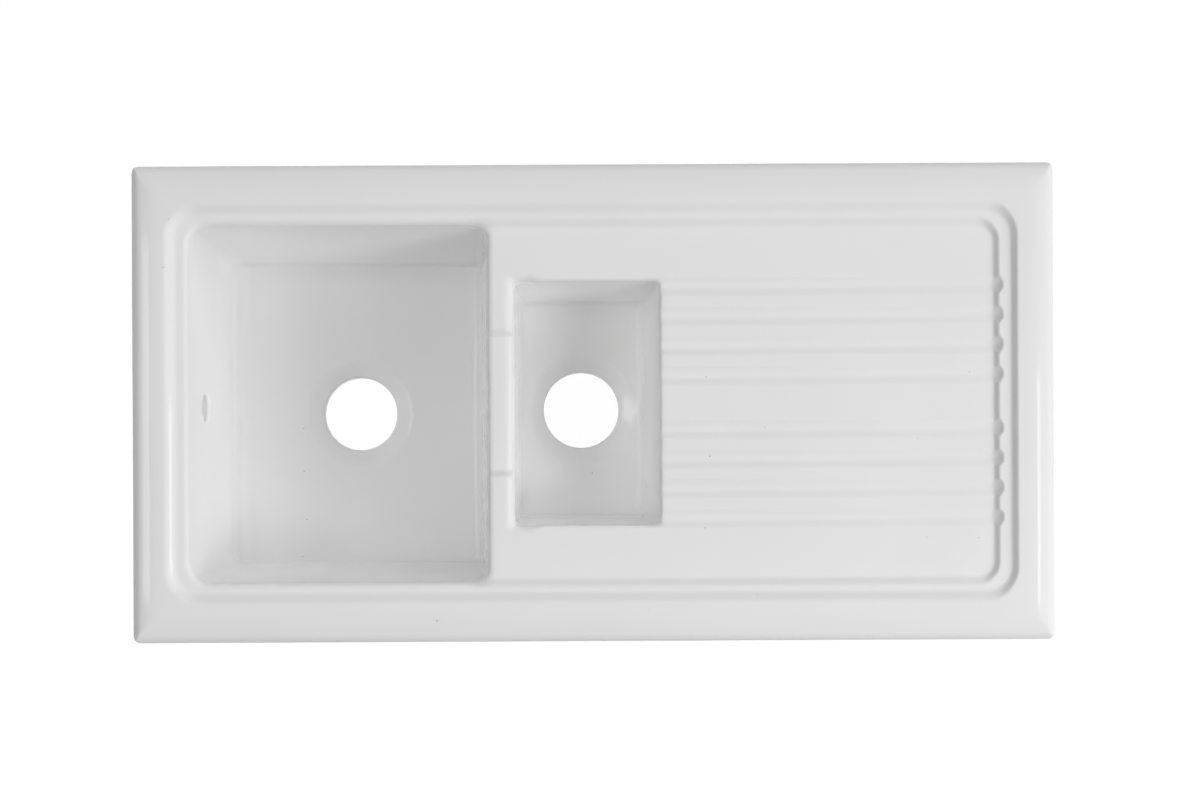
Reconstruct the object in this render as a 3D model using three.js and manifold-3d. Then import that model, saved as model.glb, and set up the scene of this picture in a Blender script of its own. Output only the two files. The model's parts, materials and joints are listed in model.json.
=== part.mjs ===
// Inset kitchen sink with one and a half bowls and a drainer, in millimetres.
// +X runs to the drainer end, +Y to the wall behind, and z = 0 is the top of the worktop.
import * as THREE from 'three';
import { mergeVertices } from 'three/addons/utils/BufferGeometryUtils.js';
import loadManifold from 'manifold-3d';

const wasm = await loadManifold();
wasm.setup();

// Outline of the rim, and the heights of its flats above the worktop.
const sinkLength = 1010;
const sinkWidth = 523;
const cornerRadius = 9;
const sealHeight = 2.5;
const crownHeight = 17;
const ledgeHeight = 11;
const deckHeight = 6;

// The rim climbs from a short upright edge over a bevel and a dome to its crown, and two soft steps
// lead down to the deck. A step's insets are its middle line's distances from the end edges and from
// the long edges.
const rimEdge = { upright: 4.5, dome: 6.4, bevelWidth: 8.5, bevelSlope: 0.42 };
const crown = { insetX: 33, insetY: 38, radius: 27 };
const outerStep = { insetX: 44, insetY: 49.5, radius: 31, halfWidth: 8.5 };
const innerStep = { insetX: 62.5, insetY: 65, radius: 22, halfWidth: 7 };

// Underside: the deck is a slab with a skirt round it that drops into the worktop's cut-out.
const slabBottom = -6;
const skirt = { outerInset: 19, width: 8, bottom: -28, draft: 1.5 };
const wall = 12;

// A bowl's sides are the lines where its wall leaves the deck. Its lips are the rounded edges.
const mainBowl = {
  left: -443, right: -116, halfWidth: 195.5, leftRadius: 26, rightRadius: 15,
  draft: 3.6, filletRadius: 16, floor: -180, dish: -184, collarBottom: -206,
  lips: { left: 0, right: 6, sides: 0 }, thickLeft: wall, thickRight: wall,
};
const halfBowl = {
  left: -87, right: 73.5, halfWidth: 134, leftRadius: 10, rightRadius: 10,
  draft: 3, filletRadius: 6, floor: -121, dish: -124, collarBottom: -146,
  lips: { left: 9, right: 3, sides: 3 }, thickLeft: 20, thickRight: wall,
};
const lipHeight = 5;
const outlet = { radius: 45, dishRadius: 65, dishFall: 8, round: 2, collarRadius: 62, collarTop: 16 };

// The lowered stretch of the divider, over which the small bowl spills into the large one.
const weir = { halfLength: 81.5, depth: 6, endRun: 9, reach: 8 };

// The hole in the large bowl's end wall, with a flat pad outside for the overflow pipe.
const overflow = { z: -57, halfWidth: 15, halfHeight: 12, padHalf: 29, padFace: -463 };

// Round-bottomed grooves in the drainer, each sloping down to the small bowl.
const groove = { offsets: [29.4, 62, 94.5, 127], radius: 13, depth: 2, fall: 1.4, from: 60, to: 436 };

// Blind recess under the deck, knocked out on the side where the tap goes.
const tapHole = { x: -6.5, y: 166, radius: 17.5, skin: 4 };

const rib = { width: 11, bottom: -19, offset: 80, crossX: 272 };
const lug = { inset: 36, halfLength: 19, halfWidth: 14, holeRadius: 5.1, holeTop: -6.5 };

// Foam strip between the rim and the worktop.
const seal = { inset: 3, width: 11 };

// A fixing hangs from each lug: a plug in the hole, and a screw that lifts a washer and an arm.
const plug = {
  flangeRadius: 7, flange: 1.5, bodyRadius: 4.8, rootRadius: 4.2, boreRadius: 2.6,
  barbs: [6, 11], barbFoot: 0.5, top: -8,
};
const screw = { radius: 2.3, tip: -24, headTop: -53.3, headRadius: 4.8, headHeight: 3 };
const washer = { radius: 7, holeRadius: 2.8, bottom: -53, thickness: 1.5 };
const arm = {
  bottom: -51.2, thickness: 2, reach: 46, bend: 2, halfWidth: 10, tipHalfWidth: 8,
  tooth: 8, holeRadius: 2.9,
};

const halfLength = sinkLength / 2;
const halfWidth = sinkWidth / 2;
const ringSteps = 6;

// One level of a loft: a rounded rectangle run anticlockwise, with the same count of points each time.
function ring(left, right, front, back, z, leftRadius, rightRadius = leftRadius) {
  const corners = [
    [right - rightRadius, back - rightRadius, rightRadius],
    [left + leftRadius, back - leftRadius, leftRadius],
    [left + leftRadius, front + leftRadius, leftRadius],
    [right - rightRadius, front + rightRadius, rightRadius],
  ];
  return corners.flatMap(([x, y, radius], quarter) => {
    const points = [];
    for (let step = 0; step <= ringSteps; step++) {
      const angle = (quarter + step / ringSteps) * Math.PI / 2;
      points.push([x + radius * Math.cos(angle), y + radius * Math.sin(angle), z]);
    }
    return points;
  });
}

const rimRing = (insetX, insetY, z, radius) => ring(
  -halfLength + insetX, halfLength - insetX, -halfWidth + insetY, halfWidth - insetY, z, radius,
);

const circleRing = (x, radius, z) => ring(x - radius, x + radius, -radius, radius, z, radius);

// Skins a stack of rings and closes both ends. Rings run upwards on the outside.
function loft(rings) {
  const count = rings[0].length;
  const top = (rings.length - 1) * count;
  const index = [];
  for (let start = 0; start < top; start += count) {
    for (let i = 0; i < count; i++) {
      const a = start + i;
      const b = start + (i + 1) % count;
      index.push(a, b, b + count, a, b + count, a + count);
    }
  }
  for (let i = 1; i < count - 1; i++) {
    index.push(0, i + 1, i);
    index.push(top, top + i, top + i + 1);
  }
  const geometry = new THREE.BufferGeometry();
  geometry.setAttribute('position', new THREE.Float32BufferAttribute(rings.flat(2), 3));
  geometry.setIndex(index);
  return solid(geometry);
}

// A closed geometry as a solid. Triangles that close up to a line, as at a pole, are dropped.
function solid(geometry) {
  const bare = geometry.clone();
  bare.deleteAttribute('normal');
  bare.deleteAttribute('uv');
  const merged = mergeVertices(bare, 1e-4);
  const corners = merged.getIndex().array;
  const triVerts = [];
  for (let i = 0; i < corners.length; i += 3) {
    const [a, b, c] = corners.slice(i, i + 3);
    if (a !== b && b !== c && c !== a) triVerts.push(a, b, c);
  }
  const vertProperties = Float32Array.from(merged.getAttribute('position').array);
  const source = { numProp: 3, vertProperties, triVerts: Uint32Array.from(triVerts) };
  return new wasm.Manifold(new wasm.Mesh(source));
}

function mesh(name, shape, material) {
  const { vertProperties, triVerts } = shape.getMesh();
  const geometry = new THREE.BufferGeometry();
  geometry.setAttribute('position', new THREE.BufferAttribute(vertProperties, 3));
  geometry.setIndex(new THREE.BufferAttribute(triVerts, 1));
  const part = new THREE.Mesh(geometry, material);
  part.name = name;
  return part;
}

const points2 = (list) => list.map(([x, y]) => new THREE.Vector2(x, y));

// Turned shape about +Z from [radius, z] points.
const turned = (profile, sides) => solid(
  new THREE.LatheGeometry(points2(profile), sides).rotateX(Math.PI / 2),
);

// A level of a step's soft S-curve, from 0 at its top edge to 1 at its foot.
function stepRing(step, along, top, foot) {
  const shift = (2 * along - 1) * step.halfWidth;
  const fallen = along - Math.sin(2 * Math.PI * along) / (2 * Math.PI);
  const z = top - (top - foot) * fallen;
  return rimRing(step.insetX + shift, step.insetY + shift, z, step.radius - shift);
}

// Height of the rim's top on its way in from the end edge to the crown.
function rimTop(inset) {
  const dome = rimEdge.dome * (1 - inset / crown.insetX) ** 2;
  return crownHeight - dome - rimEdge.bevelSlope * Math.max(rimEdge.bevelWidth - inset, 0);
}

// Rim, deck and skirt in one loft, from the slab's underside out round the rim and in to the deck.
function rimAndDeck() {
  const skirtInner = skirt.outerInset + skirt.width;
  const rings = [
    [skirtInner + skirt.draft, slabBottom, 12],
    [skirtInner - skirt.draft / 2, skirt.bottom + 1.5, 12],
    [skirtInner - 2.5, skirt.bottom, 13],
    [skirt.outerInset + 3, skirt.bottom, 14],
    [skirt.outerInset + skirt.draft, skirt.bottom + 1.5, 16],
    [skirt.outerInset, sealHeight, 17],
    [2.5, sealHeight, 7],
    [0.6, sealHeight + 1, 8.5],
    [0, rimEdge.upright, cornerRadius],
  ].map(([inset, z, radius]) => rimRing(inset, inset, z, radius));
  for (const inset of [0, rimEdge.bevelWidth / 2, rimEdge.bevelWidth, 12, 17, 24, crown.insetX]) {
    const share = inset / crown.insetX;
    const radius = cornerRadius + share * (crown.radius - cornerRadius);
    rings.push(rimRing(inset, share * crown.insetY, rimTop(inset), radius));
  }
  for (const along of [0.1, 0.35, 0.5, 0.65, 0.9]) {
    rings.push(stepRing(outerStep, along, crownHeight, ledgeHeight));
  }
  for (const along of [0.05, 0.35, 0.5, 0.65, 1]) {
    rings.push(stepRing(innerStep, along, ledgeHeight, deckHeight));
  }
  return loft(rings);
}

// A bowl's ring at one level: the sides drawn in by the wall's draft and by inset, pushed out by a lip.
function bowlRing(bowl, z, inset, lipShare = 0) {
  const drawnIn = inset + Math.tan(THREE.MathUtils.degToRad(bowl.draft)) * (deckHeight - z);
  const { left, right, sides } = bowl.lips;
  const depth = bowl.halfWidth - drawnIn + sides * lipShare;
  return ring(
    bowl.left + drawnIn - left * lipShare, bowl.right - drawnIn + right * lipShare, -depth, depth, z,
    Math.max(bowl.leftRadius - inset / 2, 6), Math.max(bowl.rightRadius - inset / 2, 6),
  );
}

const outletX = (bowl) => (bowl.left + bowl.right) / 2;

// The hollow of a bowl with its dished outlet, from below the collar to above the rim.
function bowlCavity(bowl) {
  const x = outletX(bowl);
  const neckTop = bowl.dish - outlet.dishFall;
  const rings = [
    circleRing(x, outlet.radius, bowl.collarBottom - 5),
    circleRing(x, outlet.radius, neckTop - outlet.round),
    circleRing(x, outlet.radius + outlet.round * 0.3, neckTop - outlet.round * 0.3),
    circleRing(x, outlet.radius + outlet.round, neckTop),
    circleRing(x, outlet.dishRadius - 4, bowl.dish - 2.2),
    circleRing(x, outlet.dishRadius, bowl.dish),
  ];
  for (const degrees of [0, 30, 60, 90]) {
    const angle = THREE.MathUtils.degToRad(degrees);
    const rise = bowl.filletRadius * (1 - Math.cos(angle));
    rings.push(bowlRing(bowl, bowl.floor + rise, bowl.filletRadius * (1 - Math.sin(angle))));
  }
  for (const degrees of [0, 30, 60, 90]) {
    const angle = THREE.MathUtils.degToRad(degrees);
    const z = deckHeight - lipHeight * (1 - Math.sin(angle));
    rings.push(bowlRing(bowl, z, 0, 1 - Math.cos(angle)));
  }
  rings.push(bowlRing(bowl, crownHeight + 5, 0, 1));
  return loft(rings);
}

// The outside of a bowl: the same walls one wall thickness out, with a rounder foot.
function bowlShell(bowl) {
  const outer = {
    ...bowl,
    left: bowl.left - bowl.thickLeft,
    right: bowl.right + bowl.thickRight,
    halfWidth: bowl.halfWidth + wall,
    leftRadius: bowl.leftRadius + wall,
    rightRadius: bowl.rightRadius + wall,
  };
  const bottom = bowl.dish - wall;
  const footRadius = bowl.filletRadius + wall;
  const rings = [0, 30, 60, 90].map((degrees) => {
    const angle = THREE.MathUtils.degToRad(degrees);
    return bowlRing(outer, bottom + footRadius * (1 - Math.cos(angle)), footRadius * (1 - Math.sin(angle)));
  });
  rings.push(bowlRing(outer, slabBottom + 3, 0));
  return loft(rings);
}

// The thick ring round an outlet, flat underneath where the waste's nut pulls up.
function collar(bowl) {
  const radius = outlet.collarRadius;
  const bottom = bowl.collarBottom;
  const top = bottom + outlet.collarTop;
  const profile = [[0, bottom], [radius - 2, bottom], [radius, bottom + 2], [radius + 3, top], [0, top]];
  return turned(profile, 28).translate(outletX(bowl), 0, 0);
}

// A boss or rib under the slab: a rounded bar that narrows a little towards its bottom.
function hangingBar(x0, x1, y0, y1, bottom) {
  const narrow = 1;
  return loft([
    ring(x0 + narrow, x1 - narrow, y0 + narrow, y1 - narrow, bottom, 3),
    ring(x0, x1, y0, y1, slabBottom + 2, 3),
  ]);
}

// A profile in the Y-Z plane pushed along +X, from x0 to x1.
function alongX(shape, x0, x1) {
  const settings = { depth: x1 - x0, bevelEnabled: false, curveSegments: 6 };
  const geometry = new THREE.ExtrudeGeometry(shape, settings);
  geometry.rotateX(Math.PI / 2).rotateZ(Math.PI / 2).translate(x0, 0, 0);
  return solid(geometry);
}

function weirCut() {
  const { halfLength: end, depth, endRun, reach } = weir;
  const low = deckHeight - depth;
  const above = deckHeight + 4;
  const shape = new THREE.Shape();
  shape.moveTo(end + 2, above);
  shape.lineTo(-end - 2, above);
  shape.lineTo(-end, deckHeight);
  shape.quadraticCurveTo(-end + 1, low, -end + endRun, low);
  shape.lineTo(end - endRun, low);
  shape.quadraticCurveTo(end - 1, low, end, deckHeight);
  return alongX(shape, mainBowl.right - reach, halfBowl.left + reach);
}

function grooveCut(y) {
  const { radius, depth, fall, from, to } = groove;
  const capsule = new THREE.CapsuleGeometry(radius, to - from, 5, 24).rotateZ(Math.PI / 2);
  capsule.rotateY(-Math.asin(fall / (to - from)));
  capsule.translate((from + to) / 2, y, deckHeight - depth + radius - fall / 2);
  return solid(capsule);
}

const cylinder = (radius, x, y, bottom, top, sides) => solid(
  new THREE.CylinderGeometry(radius, radius, top - bottom, sides).rotateX(Math.PI / 2)
    .translate(x, y, (bottom + top) / 2),
);

// Screw axes: three behind, three in front and one at each end. A fixing's arm is stowed along the
// edge and swings a quarter turn anticlockwise to reach out under the worktop.
const fixings = [
  { place: 'back_left', x: -330, y: halfWidth - lug.inset, turn: 0 },
  { place: 'back_middle', x: 40, y: halfWidth - lug.inset, turn: 0 },
  { place: 'back_right', x: 380, y: halfWidth - lug.inset, turn: 0 },
  { place: 'front_left', x: -330, y: -halfWidth + lug.inset, turn: 180 },
  { place: 'front_middle', x: 40, y: -halfWidth + lug.inset, turn: 180 },
  { place: 'front_right', x: 380, y: -halfWidth + lug.inset, turn: 180 },
  { place: 'end_left', x: -halfLength + lug.inset, y: 95, turn: 90 },
  { place: 'end_right', x: halfLength - lug.inset, y: 0, turn: -90 },
];

function fixingLug({ x, y, turn }) {
  const acrossX = turn % 180 === 0 ? lug.halfLength : lug.halfWidth;
  const acrossY = turn % 180 === 0 ? lug.halfWidth : lug.halfLength;
  return hangingBar(x - acrossX, x + acrossX, y - acrossY, y + acrossY, skirt.bottom);
}

function sinkBody() {
  const { padFace, padHalf, z } = overflow;
  const skirtInner = skirt.outerInset + skirt.width;
  const added = [
    bowlShell(mainBowl), bowlShell(halfBowl), collar(mainBowl), collar(halfBowl),
    ...fixings.map(fixingLug),
    ...[1, -1].map((side) => hangingBar(halfBowl.right, halfLength - skirtInner + 1,
      side * rib.offset - rib.width / 2, side * rib.offset + rib.width / 2, rib.bottom)),
    hangingBar(rib.crossX - rib.width / 2, rib.crossX + rib.width / 2,
      -halfWidth + skirtInner - 1, halfWidth - skirtInner + 1, rib.bottom),
    loft([
      ring(padFace, mainBowl.left, -padHalf, padHalf, z - padHalf, 0.5),
      ring(padFace, mainBowl.left, -padHalf, padHalf, slabBottom + 2, 0.5),
    ]),
  ];
  const overflowHole = new THREE.CylinderGeometry(1, 1, 60, 20).rotateZ(Math.PI / 2)
    .scale(1, overflow.halfWidth, overflow.halfHeight).translate(mainBowl.left, 0, z);
  const cut = [
    bowlCavity(mainBowl), bowlCavity(halfBowl), weirCut(), solid(overflowHole),
    ...groove.offsets.flatMap((y) => [grooveCut(y), grooveCut(-y)]),
    ...fixings.map(({ x, y }) => cylinder(lug.holeRadius, x, y, skirt.bottom - 2, lug.holeTop, 16)),
    ...[1, -1].map((side) => cylinder(tapHole.radius, tapHole.x, side * tapHole.y,
      slabBottom - 5, deckHeight - tapHole.skin, 24)),
  ];
  const blank = added.reduce((sum, piece) => sum.add(piece), rimAndDeck());
  return cut.reduce((rest, piece) => rest.subtract(piece), blank);
}

// Foam strips: front and back run the full length, and the end strips fit between them.
function sealStrip(x0, x1, y0, y1) {
  return solid(new THREE.BoxGeometry(x1 - x0, y1 - y0, sealHeight)
    .translate((x0 + x1) / 2, (y0 + y1) / 2, sealHeight / 2));
}

// Barbed plug with a flange below and a bore right through for the screw.
function plugShape() {
  const { flangeRadius, flange, bodyRadius, rootRadius, boreRadius, barbs, barbFoot, top } = plug;
  const face = skirt.bottom;
  const profile = [
    [boreRadius, face - flange], [flangeRadius, face - flange], [flangeRadius, face], [bodyRadius, face],
    ...barbs.flatMap((rise) => [[bodyRadius, face + rise], [rootRadius, face + rise + barbFoot]]),
    [bodyRadius, top - 4], [rootRadius, top], [boreRadius, top], [boreRadius, face - flange],
  ];
  return turned(profile, 14);
}

function screwShape() {
  const { radius, tip, headTop, headRadius, headHeight } = screw;
  const headBottom = headTop - headHeight;
  const profile = [
    [0, headBottom], [headRadius * 0.6, headBottom], [headRadius, headTop - headHeight * 0.45],
    [headRadius, headTop], [radius, headTop], [radius, tip - 4], [0, tip],
  ];
  return turned(profile, 12);
}

function washerShape() {
  const { radius, holeRadius, bottom, thickness } = washer;
  const profile = [[holeRadius, bottom], [radius, bottom], [radius, bottom + thickness],
    [holeRadius, bottom + thickness], [holeRadius, bottom]];
  return turned(profile, 18);
}

// Pressed strip: round at the screw, narrowing to a tip that turns up into a tooth.
function armShape() {
  const { bottom, thickness, reach, bend, halfWidth: half, tipHalfWidth: tip, tooth, holeRadius } = arm;
  const side = new THREE.Shape();
  side.moveTo(-half, bottom);
  side.lineTo(reach - bend, bottom);
  side.lineTo(reach, bottom + bend);
  side.lineTo(reach, bottom + thickness + tooth);
  side.lineTo(reach - thickness, bottom + thickness + tooth);
  side.lineTo(reach - thickness, bottom + thickness + bend / 2);
  side.lineTo(reach - thickness - bend / 2, bottom + thickness);
  side.lineTo(-half, bottom + thickness);
  const strip = new THREE.ExtrudeGeometry(side, { depth: 2 * half, bevelEnabled: false });
  strip.rotateX(Math.PI / 2).translate(0, half, 0);
  const plan = new THREE.Shape();
  plan.absarc(0, 0, half, Math.PI / 2, 3 * Math.PI / 2, false);
  plan.lineTo(reach + 1, -tip);
  plan.lineTo(reach + 1, tip);
  const hole = new THREE.Path();
  hole.absarc(0, 0, holeRadius, 0, 2 * Math.PI, true);
  plan.holes.push(hole);
  const blank = new THREE.ExtrudeGeometry(plan, { depth: 20, bevelEnabled: false, curveSegments: 10 });
  blank.translate(0, 0, bottom - 5);
  return solid(strip).intersect(solid(blank));
}

const glaze = new THREE.MeshStandardMaterial({ color: 0xf3f3f1, roughness: 0.12, metalness: 0 });
const foam = new THREE.MeshStandardMaterial({ color: 0x3b3d3e, roughness: 0.95, metalness: 0 });
const nylon = new THREE.MeshStandardMaterial({ color: 0xd8d2c2, roughness: 0.5, metalness: 0 });
const zinc = new THREE.MeshStandardMaterial({ color: 0xb8bbbe, roughness: 0.35, metalness: 0.9 });

const sink = new THREE.Group();
sink.name = 'kitchen_sink';
sink.add(mesh('sink_body', sinkBody(), glaze));

const sealX = halfLength - seal.inset;
const sealY = halfWidth - seal.inset;
const sealInnerX = sealX - seal.width;
const sealInnerY = sealY - seal.width;
sink.add(mesh('rim_seal_front', sealStrip(-sealX, sealX, -sealY, -sealInnerY), foam));
sink.add(mesh('rim_seal_back', sealStrip(-sealX, sealX, sealInnerY, sealY), foam));
sink.add(mesh('rim_seal_left', sealStrip(-sealX, -sealInnerX, -sealInnerY, sealInnerY), foam));
sink.add(mesh('rim_seal_right', sealStrip(sealInnerX, sealX, -sealInnerY, sealInnerY), foam));

const plugSolid = plugShape();
const screwSolid = screwShape();
const washerSolid = washerShape();
const armSolid = armShape();
for (const { place, x, y, turn } of fixings) {
  const fixing = new THREE.Group();
  fixing.add(mesh(`anchor_plug_${place}`, plugSolid, nylon));
  fixing.add(mesh(`fixing_screw_${place}`, screwSolid, zinc));
  fixing.add(mesh(`clip_washer_${place}`, washerSolid, zinc));
  fixing.add(mesh(`clamp_arm_${place}`, armSolid, zinc));
  fixing.position.set(x, y, 0);
  fixing.rotation.z = THREE.MathUtils.degToRad(turn);
  sink.add(fixing);
}

export default sink;
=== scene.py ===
import json
import math

import bmesh
import bpy
import numpy as np
from mathutils import Matrix, Vector


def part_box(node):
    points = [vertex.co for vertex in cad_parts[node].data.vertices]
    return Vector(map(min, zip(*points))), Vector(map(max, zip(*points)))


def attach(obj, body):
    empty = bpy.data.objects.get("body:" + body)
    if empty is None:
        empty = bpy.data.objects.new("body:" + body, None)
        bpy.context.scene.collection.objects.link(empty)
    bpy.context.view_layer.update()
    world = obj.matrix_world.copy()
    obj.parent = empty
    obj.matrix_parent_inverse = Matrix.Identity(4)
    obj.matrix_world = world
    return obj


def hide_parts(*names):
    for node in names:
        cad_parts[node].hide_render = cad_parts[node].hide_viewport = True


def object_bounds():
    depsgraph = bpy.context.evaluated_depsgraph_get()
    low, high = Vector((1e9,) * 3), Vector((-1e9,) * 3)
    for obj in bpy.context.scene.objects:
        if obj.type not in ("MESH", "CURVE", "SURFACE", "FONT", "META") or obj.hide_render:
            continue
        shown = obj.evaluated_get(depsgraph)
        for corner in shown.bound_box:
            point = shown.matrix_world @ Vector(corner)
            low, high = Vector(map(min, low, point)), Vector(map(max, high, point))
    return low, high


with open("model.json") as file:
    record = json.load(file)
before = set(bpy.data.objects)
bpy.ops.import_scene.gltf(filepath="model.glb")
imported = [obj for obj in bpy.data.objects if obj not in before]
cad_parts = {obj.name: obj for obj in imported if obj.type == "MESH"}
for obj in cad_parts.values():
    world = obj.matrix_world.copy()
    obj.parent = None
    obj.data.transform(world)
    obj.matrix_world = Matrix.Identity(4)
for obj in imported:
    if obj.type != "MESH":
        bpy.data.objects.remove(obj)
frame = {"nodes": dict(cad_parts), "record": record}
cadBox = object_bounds()
bodyLow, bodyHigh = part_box("sink_body")
mounts = {m["name"]: Vector(m["pos_m"]) for m in frame["record"]["mounts"]}
halfLong, halfDeep = bodyHigh.x, bodyHigh.y
print("frame loaded", len(frame["nodes"]), "nodes")

# shader maths

class Wire:
    # a socket of one node tree, or the bare tree, that adds nodes when it is used in a sum
    def __init__(self, tree, socket=None):
        self.tree, self.socket = tree, socket

    def node(self, kind, settings={}, values={}, out=0):
        made = self.tree.nodes.new("ShaderNode" + kind)
        for name, value in settings.items():
            setattr(made, name, value)
        for name, value in values.items():
            if isinstance(value, Wire):
                self.tree.links.new(value.socket, made.inputs[name])
            else:
                made.inputs[name].default_value = value
        return Wire(self.tree, made.outputs[out])

    def maths(self, operation, *values):
        return self.node("Math", {"operation": operation}, dict(enumerate(values)))

    def __add__(self, other): return self.maths("ADD", self, other)
    def __radd__(self, other): return self.maths("ADD", other, self)
    def __sub__(self, other): return self.maths("SUBTRACT", self, other)
    def __rsub__(self, other): return self.maths("SUBTRACT", other, self)
    def __mul__(self, other): return self.maths("MULTIPLY", self, other)
    def __rmul__(self, other): return self.maths("MULTIPLY", other, self)

    def between(self, low, high, start=0.0, end=1.0):
        return self.node("MapRange", {"interpolation_type": "SMOOTHSTEP"},
                         {0: self, 1: low, 2: high, 3: start, 4: end})

    def mixed(self, first, second):
        # this wire's value picks between two colours
        return self.node("Mix", {"data_type": "RGBA"}, {0: self, 6: first, 7: second}, out=2)


def material(name, roughness, metallic=0.0):
    made = bpy.data.materials.new(name)
    made.use_nodes = True
    shader = made.node_tree.nodes["Principled BSDF"]
    shader.inputs["Roughness"].default_value = roughness
    shader.inputs["Metallic"].default_value = metallic
    return made, Wire(made.node_tree), shader


def feed(shader, name, value):
    if isinstance(value, Wire):
        value.tree.links.new(value.socket, shader.inputs[name])
    else:
        shader.inputs[name].default_value = value


def bumped(wire, height):
    # a height in metres as a bend of the surface
    return wire.node("Bump", {}, {"Height": height, "Strength": 1.0, "Distance": 1.0})


# camera: straight down on the rim from well above it, as the photo was taken

photo = {"width": 1200, "height": 800, "pixelsPerMetre": 912.4, "height0": 0.005, "distance": 1.4,
         "sinkCentre": (593.0, 402.8), "nadir": (525.0, 485.0), "roll": 0.28}


def makeCamera():
    data = bpy.data.cameras.new("camera")
    camera = bpy.data.objects.new("camera", data)
    bpy.context.scene.collection.objects.link(camera)
    scale = photo["pixelsPerMetre"]
    offX = (photo["nadir"][0] - photo["sinkCentre"][0]) / scale
    offY = (photo["sinkCentre"][1] - photo["nadir"][1]) / scale
    roll = math.radians(-photo["roll"])
    camera.location = (offX * math.cos(roll) - offY * math.sin(roll),
                       offX * math.sin(roll) + offY * math.cos(roll), photo["height0"] + photo["distance"])
    camera.rotation_euler = (0, 0, roll)
    data.sensor_width = 36
    data.lens = data.sensor_width * scale * photo["distance"] / photo["width"]
    data.shift_x = (photo["width"] / 2 - photo["nadir"][0]) / photo["width"]
    data.shift_y = (photo["nadir"][1] - photo["height"] / 2) / photo["width"]
    data.clip_start, data.clip_end = 0.05, 50
    bpy.context.scene.camera = camera


makeCamera()
print("camera placed")

# the ceramic, as one smooth field that is below zero inside it

rim = {"corner": 0.009, "edgeRound": 0.0035, "crown": bodyHigh.z, "crownAt": (0.033, 0.038),
       "dome": (0.0064, 0.007), "bevelWidth": 0.0085, "bevelSlope": 0.42, "shoulder": 0.009,
       "shoulderFall": 0.0029, "bevelFoot": 0.0025, "mitre": 0.0009, "most": 1.2,
       "ledge": 0.011, "deck": 0.006, "underside": 0.0025}
outerStep = {"inset": (0.044, 0.0495), "radius": 0.031, "half": 0.0085,
             "drainerHalf": 0.004, "drainerShift": 0.0018}
innerStep = {"inset": (0.0625, 0.065), "radius": 0.022, "half": 0.007,
             "drainerHalf": 0.0036, "drainerShift": 0.001}
cornerTurn = {"from": 0.2, "over": 0.8}  # where in a corner the steps steepen, as shares of its radius
firing = {"amount": 0.00006,
          "waves": ((31, 17, 9, 0.0), (-41, 23, 31, 1.3), (53, 37, -19, 2.1), (19, -67, 43, 4.0))}
under = {"skirtInset": 0.0195, "pocketInset": 0.0275, "skirtBottom": -0.028, "slabBottom": -0.006,
         "skirtCorner": 0.016, "skirtLean": 0.05, "skirtFoot": 0.004,
         "pocketCorner": 0.012, "pocketLean": 0.04, "pocketRound": 0.006, "skirtRound": 0.005,
         "wall": 0.012, "collar": 0.062, "ribBottom": -0.019, "ribHalf": 0.0055, "ribAt": 0.08,
         "ribCross": 0.272, "ribEnd": 0.002, "ribMeet": 0.004, "ribFoot": 0.004, "ribJoin": 0.006,
         "bowlJoin": 0.009, "slabJoin": 0.003, "rimJoin": 0.002}
bowlOut = {"into": 0.003, "top": 0.001, "collarFoot": 0.003, "collarJoin": 0.004}  # a bowl's outer shell
mainBowl = {"left": -0.443, "right": -0.116, "half": 0.1955, "corners": (0.031, 0.018), "draft": 3.6,
            "fillets": (0.021, 0.015, 0.008), "floor": -0.18, "dish": -0.184, "foot": 0.03, "tighten": 0.5,
            "collarBottom": mounts["main_waste_seat"].z,
            "lips": (0.003, 0.008), "lipTurn": (-0.15, -0.125), "thick": (0.012, 0.012)}
halfBowl = {"left": -0.087, "right": 0.0735, "half": 0.134, "corners": (0.009, 0.007), "draft": 3.0,
            "fillets": (0.009, 0.012, 0.006), "floor": -0.121, "dish": -0.124, "foot": 0.02, "tighten": 0.4,
            "collarBottom": mounts["half_waste_seat"].z,
            "lips": (0.011, 0.004), "lipTurn": (-0.075, -0.055), "thick": (0.02, 0.012)}
outlet = {"radius": 0.045, "dish": 0.066, "fall": 0.008, "edge": 0.003, "floorRun": 0.1, "land": 0.001,
          "fallShares": (0.55, 0.45)}
weir = {"half": 0.0815, "run": 0.009, "depth": 0.006, "between": (-0.14, -0.07)}
overflow = {"z": mounts["overflow_pad"].z, "half": (0.015, 0.012), "pad": mounts["overflow_pad"].x,
            "padHalf": 0.029, "padCorner": 0.006, "padFace": 0.003, "padJoin": 0.004, "reach": 0.02,
            "edge": 0.003}
groove = {"offsets": (0.0294, 0.062, 0.0945, 0.127), "radius": 0.013, "depth": 0.0022, "fall": 0.0014,
          "from": 0.06, "to": 0.436, "soft": 0.0022}
tapHole = {"x": mounts["tap_seat"].x, "y": mounts["tap_seat"].y, "radius": 0.0175, "top": 0.002,
           "edge": 0.0015}
lug = {"along": 0.019, "across": 0.014, "corner": 0.005, "foot": 0.002, "join": 0.003,
       "hole": 0.0051, "holeTop": -0.0065, "holeEdge": 0.001}

# the screw axes, read from the plugs, and the way that each arm points
fixings, turns = {}, {}
for name in frame["nodes"]:
    if name.startswith("anchor_plug_"):
        place = name.removeprefix("anchor_plug_")
        low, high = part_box(name)
        fixings[place] = Vector(((low.x + high.x) / 2, (low.y + high.y) / 2, 0))
        low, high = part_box("clamp_arm_" + place)
        reach = (low + high) / 2 - fixings[place]
        turns[place] = round(math.atan2(reach.y, reach.x) / (math.pi / 2)) * math.pi / 2
firstPlace = next(iter(fixings))


def softMax(a, b, k):
    near = np.maximum(k - np.abs(a - b), 0)
    return np.maximum(a, b) + near * near / (4 * k)


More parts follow.
